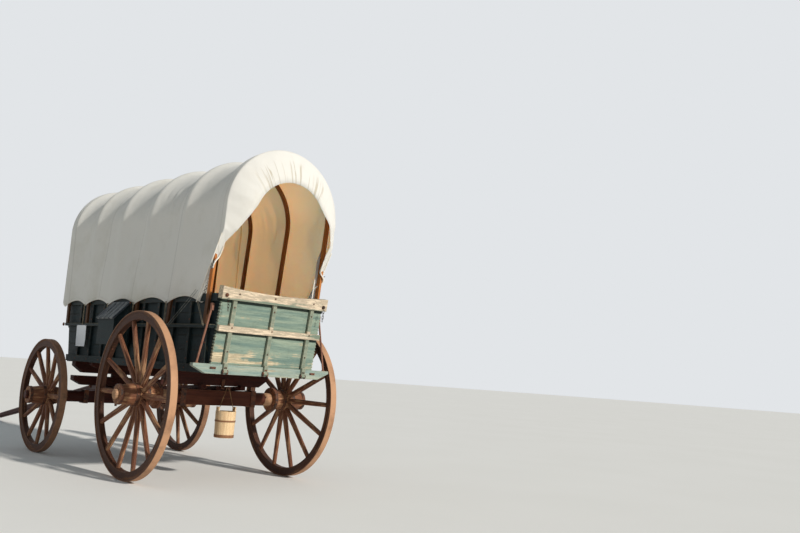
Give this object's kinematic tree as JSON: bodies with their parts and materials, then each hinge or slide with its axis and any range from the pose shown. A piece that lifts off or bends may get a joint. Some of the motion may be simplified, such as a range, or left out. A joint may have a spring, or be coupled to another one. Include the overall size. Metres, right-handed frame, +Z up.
{
  "type": "covered wagon",
  "caption": "Horse-drawn plank wagon with a canvas cover on bent wooden bows, dished spoked wheels, a drop rear gate, a side toolbox, a pole and a hanging pail.",
  "frame": {"origin": "on the ground, halfway along the whole wagon with its pole, on the centre line", "axes": "+X forward towards the tip of the pole, +Y to the left, +Z up"},
  "size_m": [6.5426, 1.826, 2.72],
  "materials": {
    "box_paint": "weathered dark blue-green paint on boards",
    "gate_paint": "flaking pale green paint on boards",
    "gear_wood": "worn dark red-brown paint on timber",
    "wheel_wood": "worn red-brown paint on timber",
    "hub_wood": "bare weathered timber",
    "bow_wood": "bare bent timber",
    "pail_wood": "bare pale timber",
    "iron": "rusty wrought iron",
    "tyre_iron": "rusty iron, worn on the tread",
    "canvas": "off-white cotton canvas",
    "rope": "twisted natural fibre rope"
  },
  "bodies": {
    "wagon": {"floor_boards": "box_paint", "cross_sills": "gear_wood", "side_boards_left": "box_paint", "side_boards_right": "box_paint", "side_frame_left": "box_paint", "side_frame_right": "box_paint", "front_end": "box_paint", "rear_sill": "gate_paint", "gate_lugs": "iron", "brace_rods": "iron", "bows": "bow_wood", "cover": "canvas", "toolbox_case": "box_paint", "rear_axle": "gear_wood", "rear_bolster": "gear_wood", "rear_clips": "iron", "rear_hounds": "gear_wood", "reach": "gear_wood", "front_bolster": "gear_wood", "king_pin": "iron", "pail_hanger": "iron", "toolbox_hinge": "iron"},
    "front_gear": {"front_axle": "gear_wood", "sand_board": "gear_wood", "front_hounds": "gear_wood", "sway_bar": "gear_wood", "front_clips": "iron", "tongue_pin": "iron"},
    "tongue": {"tongue": "gear_wood", "tongue_cap": "iron"},
    "rear_gate": {"gate_boards": "gate_paint", "gate_frame": "gate_paint"},
    "toolbox_lid": {"toolbox_lid": "box_paint"},
    "pail": {"pail": "pail_wood", "pail_hoops": "iron", "pail_rope": "rope"},
    "rear_left_wheel": {"rear_left_hub": "hub_wood", "rear_left_bands": "iron", "rear_left_spokes": "wheel_wood", "rear_left_felloes": "wheel_wood", "rear_left_tyre": "tyre_iron"},
    "rear_right_wheel": {"rear_right_hub": "hub_wood", "rear_right_bands": "iron", "rear_right_spokes": "wheel_wood", "rear_right_felloes": "wheel_wood", "rear_right_tyre": "tyre_iron"},
    "front_left_wheel": {"front_left_hub": "hub_wood", "front_left_bands": "iron", "front_left_spokes": "wheel_wood", "front_left_felloes": "wheel_wood", "front_left_tyre": "tyre_iron"},
    "front_right_wheel": {"front_right_hub": "hub_wood", "front_right_bands": "iron", "front_right_spokes": "wheel_wood", "front_right_felloes": "wheel_wood", "front_right_tyre": "tyre_iron"}
  },
  "joints": [
    {"name": "rear_left_spin", "type": "hinge", "parent": "wagon", "child": "rear_left_wheel", "pos_m": [-2.4093, 0.75, 0.672], "axis": [0, 1, 0], "continuous": true},
    {"name": "rear_right_spin", "type": "hinge", "parent": "wagon", "child": "rear_right_wheel", "pos_m": [-2.4093, -0.75, 0.672], "axis": [0, 1, 0], "continuous": true},
    {"name": "front_left_spin", "type": "hinge", "parent": "front_gear", "child": "front_left_wheel", "pos_m": [-0.4393, 0.75, 0.541], "axis": [0, 1, 0], "continuous": true},
    {"name": "front_right_spin", "type": "hinge", "parent": "front_gear", "child": "front_right_wheel", "pos_m": [-0.4393, -0.75, 0.541], "axis": [0, 1, 0], "continuous": true},
    {"name": "steering", "type": "hinge", "parent": "wagon", "child": "front_gear", "pos_m": [-0.4393, 0, 0.66], "axis": [0, 0, 1], "range_deg": [-18, 18]},
    {"name": "tongue_pitch", "type": "hinge", "parent": "front_gear", "child": "tongue", "pos_m": [-0.0293, 0, 0.627], "axis": [0, -1, 0], "range_deg": [0, 50]},
    {"name": "gate_drop", "type": "hinge", "parent": "wagon", "child": "rear_gate", "pos_m": [-3.1273, 0, 0.9065], "axis": [0, -1, 0], "range_deg": [0, 90]},
    {"name": "toolbox_lid_lift", "type": "hinge", "parent": "wagon", "child": "toolbox_lid", "pos_m": [-1.5393, 0.5476, 1.44256], "axis": [1, 0, 0], "range_deg": [0, 80]},
    {"name": "pail_swing", "type": "hinge", "parent": "wagon", "child": "pail", "pos_m": [-2.5493, -0.025, 0.762], "axis": [1, 0, 0], "range_deg": [-20, 20]}
  ]
}
